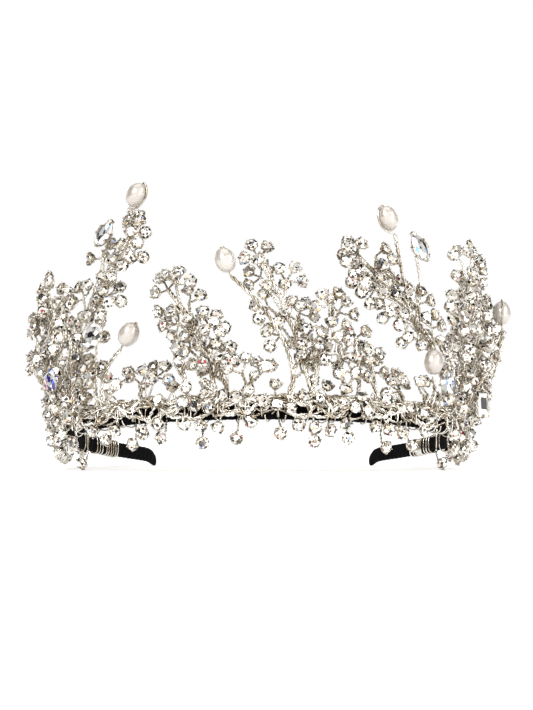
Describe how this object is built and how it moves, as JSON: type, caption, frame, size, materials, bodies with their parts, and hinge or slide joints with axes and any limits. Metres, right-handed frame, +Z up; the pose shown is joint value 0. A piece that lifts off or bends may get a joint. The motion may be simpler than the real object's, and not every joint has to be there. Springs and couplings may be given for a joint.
{
  "type": "pearl tiara",
  "caption": "Tiara of wired crystal sprays and oval pearls on a ribbon-wrapped headband that is open at the back, worn on top of the head.",
  "frame": {"origin": "on the floor under the middle of the bounding box, as the tiara rests by itself", "axes": "+X to the right as seen from the front, the front of the tiara faces -Y, +Z up from the floor"},
  "size_m": [0.1722, 0.1256, 0.0969],
  "materials": {
    "black_ribbon": "matt black ribbon, spiral wrapped",
    "silver_wire": "bright silver plate, slightly warm",
    "clear_crystal": "foil-backed cut crystal",
    "violet_crystal": "foil-backed blue-violet cut crystal",
    "pearl": "creamy pink pearl lustre"
  },
  "bodies": {
    "root": {"ribbon_band": "black_ribbon", "vine_wire": "silver_wire", "front_wraps": "silver_wire", "left_binding": "silver_wire", "right_binding": "silver_wire", "spray_a_wire": "silver_wire", "spray_a_crystals": "clear_crystal", "spray_b_wire": "silver_wire", "spray_b_crystals": "clear_crystal", "spray_c_wire": "silver_wire", "spray_c_crystals": "clear_crystal", "spray_d_wire": "silver_wire", "spray_d_crystals": "clear_crystal", "spray_e_wire": "silver_wire", "spray_e_crystals": "clear_crystal", "spray_f_wire": "silver_wire", "spray_f_crystals": "clear_crystal", "spray_g_wire": "silver_wire", "spray_g_crystals": "clear_crystal", "spray_h_wire": "silver_wire", "spray_h_crystals": "clear_crystal", "low_sprays_wire": "silver_wire", "low_sprays_crystals": "clear_crystal", "front_fringe_wire": "silver_wire", "front_fringe_crystals": "clear_crystal", "left_fringe_wire": "silver_wire", "left_fringe_crystals": "clear_crystal", "right_fringe_wire": "silver_wire", "right_fringe_crystals": "clear_crystal", "pearl_1": "pearl", "pearl_2": "pearl", "pearl_3": "pearl", "pearl_4": "pearl", "pearl_5": "pearl", "pearl_6": "pearl", "pearl_wire_1": "silver_wire", "pearl_wire_2": "silver_wire", "pearl_wire_3": "silver_wire", "pearl_wire_4": "silver_wire", "pearl_wire_5": "silver_wire", "pearl_wire_6": "silver_wire", "pear_crystal_left": "clear_crystal", "pear_crystal_right": "clear_crystal", "pear_crystal_low": "clear_crystal", "pear_crystal_violet": "violet_crystal", "oval_crystal": "clear_crystal", "baguette_crystal": "clear_crystal", "pear_setting_left": "silver_wire", "pear_setting_right": "silver_wire", "pear_setting_low": "silver_wire", "pear_setting_violet": "silver_wire", "oval_setting": "silver_wire", "baguette_setting": "silver_wire"}
  },
  "joints": []
}
